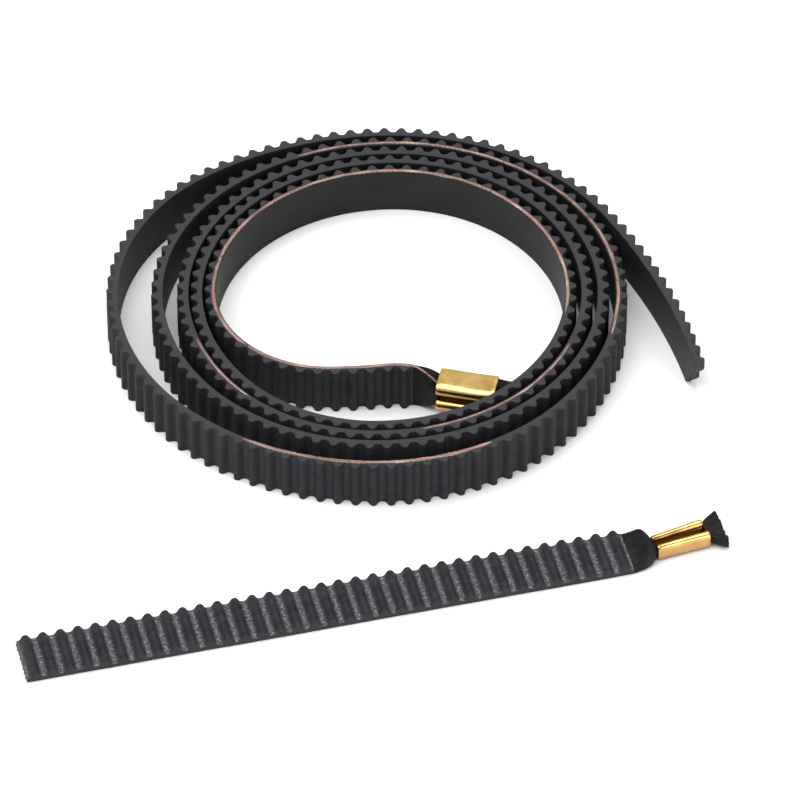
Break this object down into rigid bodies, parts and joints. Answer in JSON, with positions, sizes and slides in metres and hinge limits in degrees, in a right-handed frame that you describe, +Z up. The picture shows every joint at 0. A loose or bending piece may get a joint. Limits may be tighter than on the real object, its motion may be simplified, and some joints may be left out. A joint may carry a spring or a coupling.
{
  "type": "timing belt",
  "caption": "Open-ended toothed belt wound in a loose coil on its edge, inner end crimped in a brass ferrule, outer end a cut tail, with a short flat length and its ferrule.",
  "frame": {"origin": "on the table, under the middle of the whole part's box", "axes": "+Z up, across the width of the coiled belt; +X to the right along the short length; +Y from the short length towards the coil"},
  "size_m": [0.0802, 0.0854, 0.006],
  "materials": {
    "neoprene": "matt moulded chloroprene",
    "nylon_facing": "fine black woven nylon",
    "glass_cord": "twisted glass fibre with a pink-brown latex coat",
    "brass": "bright rolled sheet, crimped"
  },
  "bodies": {
    "coil": {"coil_backing": "neoprene", "coil_cord_1": "glass_cord", "coil_cord_2": "glass_cord", "coil_cord_3": "glass_cord", "coil_cord_4": "glass_cord", "coil_cord_5": "glass_cord", "coil_cord_6": "glass_cord", "coil_cord_7": "glass_cord", "coil_cord_8": "glass_cord", "coil_cord_bed": "neoprene", "coil_facing": "nylon_facing", "coil_teeth": "neoprene"},
    "lead_1": {"lead_1_backing": "neoprene", "lead_1_cord_bed": "neoprene", "lead_1_cords": "glass_cord", "lead_1_facing": "nylon_facing", "lead_1_teeth": "neoprene"},
    "lead_2": {"coil_crimped_end": "neoprene", "coil_ferrule": "brass", "lead_2_backing": "neoprene", "lead_2_cord_bed": "neoprene", "lead_2_cords": "glass_cord", "lead_2_facing": "nylon_facing", "lead_2_teeth": "neoprene"},
    "tail_1": {"tail_1_backing": "neoprene", "tail_1_cord_bed": "neoprene", "tail_1_cords": "glass_cord", "tail_1_facing": "nylon_facing", "tail_1_teeth": "neoprene"},
    "tail_2": {"tail_2_backing": "neoprene", "tail_2_cord_bed": "neoprene", "tail_2_cords": "glass_cord", "tail_2_facing": "nylon_facing", "tail_2_teeth": "neoprene"},
    "tail_3": {"tail_3_backing": "neoprene", "tail_3_cord_bed": "neoprene", "tail_3_cords": "glass_cord", "tail_3_facing": "nylon_facing", "tail_3_teeth": "neoprene"},
    "tail_4": {"tail_4_backing": "neoprene", "tail_4_cord_bed": "neoprene", "tail_4_cords": "glass_cord", "tail_4_facing": "nylon_facing", "tail_4_teeth": "neoprene"},
    "strip_run": {"strip_run_backing": "neoprene", "strip_run_cord_bed": "neoprene", "strip_run_cords": "glass_cord", "strip_run_facing": "nylon_facing", "strip_run_teeth": "neoprene"},
    "strip_tip": {"strip_crimped_end": "neoprene", "strip_ferrule": "brass", "strip_tip_backing": "neoprene", "strip_tip_cord_bed": "neoprene", "strip_tip_cords": "glass_cord", "strip_tip_facing": "nylon_facing", "strip_tip_teeth": "neoprene"}
  },
  "joints": [
    {"name": "lead_1_flex", "type": "hinge", "parent": "coil", "child": "lead_1", "pos_m": [-0.01151, 0.00279, 0.003], "axis": [0, 0, 1], "range_deg": [0, 25], "stiffness_Nm_per_rad": 0.0002},
    {"name": "lead_2_flex", "type": "hinge", "parent": "lead_1", "child": "lead_2", "pos_m": [-0.00372, 0.00144, 0.003], "axis": [0, 0, 1], "range_deg": [0, 25], "stiffness_Nm_per_rad": 0.0002},
    {"name": "tail_1_flex", "type": "hinge", "parent": "coil", "child": "tail_1", "pos_m": [0.02183, 0.03387, 0.003], "axis": [0, 0, 1], "range_deg": [-3, 20], "stiffness_Nm_per_rad": 0.0002},
    {"name": "tail_2_flex", "type": "hinge", "parent": "tail_1", "child": "tail_2", "pos_m": [0.02689, 0.02771, 0.003], "axis": [0, 0, 1], "range_deg": [-3, 20], "stiffness_Nm_per_rad": 0.0002},
    {"name": "tail_3_flex", "type": "hinge", "parent": "tail_2", "child": "tail_3", "pos_m": [0.03076, 0.02071, 0.003], "axis": [0, 0, 1], "range_deg": [-3, 20], "stiffness_Nm_per_rad": 0.0002},
    {"name": "tail_4_flex", "type": "hinge", "parent": "tail_3", "child": "tail_4", "pos_m": [0.03386, 0.01334, 0.003], "axis": [0, 0, 1], "range_deg": [-3, 20], "stiffness_Nm_per_rad": 0.0002},
    {"name": "strip_slide", "type": "slide", "parent": "coil", "child": "strip_run", "axis": [0, -1, 0], "range_m": [0, 0.03]},
    {"name": "strip_tip_flex", "type": "hinge", "parent": "strip_run", "child": "strip_tip", "pos_m": [0.01098, -0.02726, 0.00038], "axis": [0.2419, -0.9703, 0], "range_deg": [0, 25], "stiffness_Nm_per_rad": 0.0002}
  ]
}
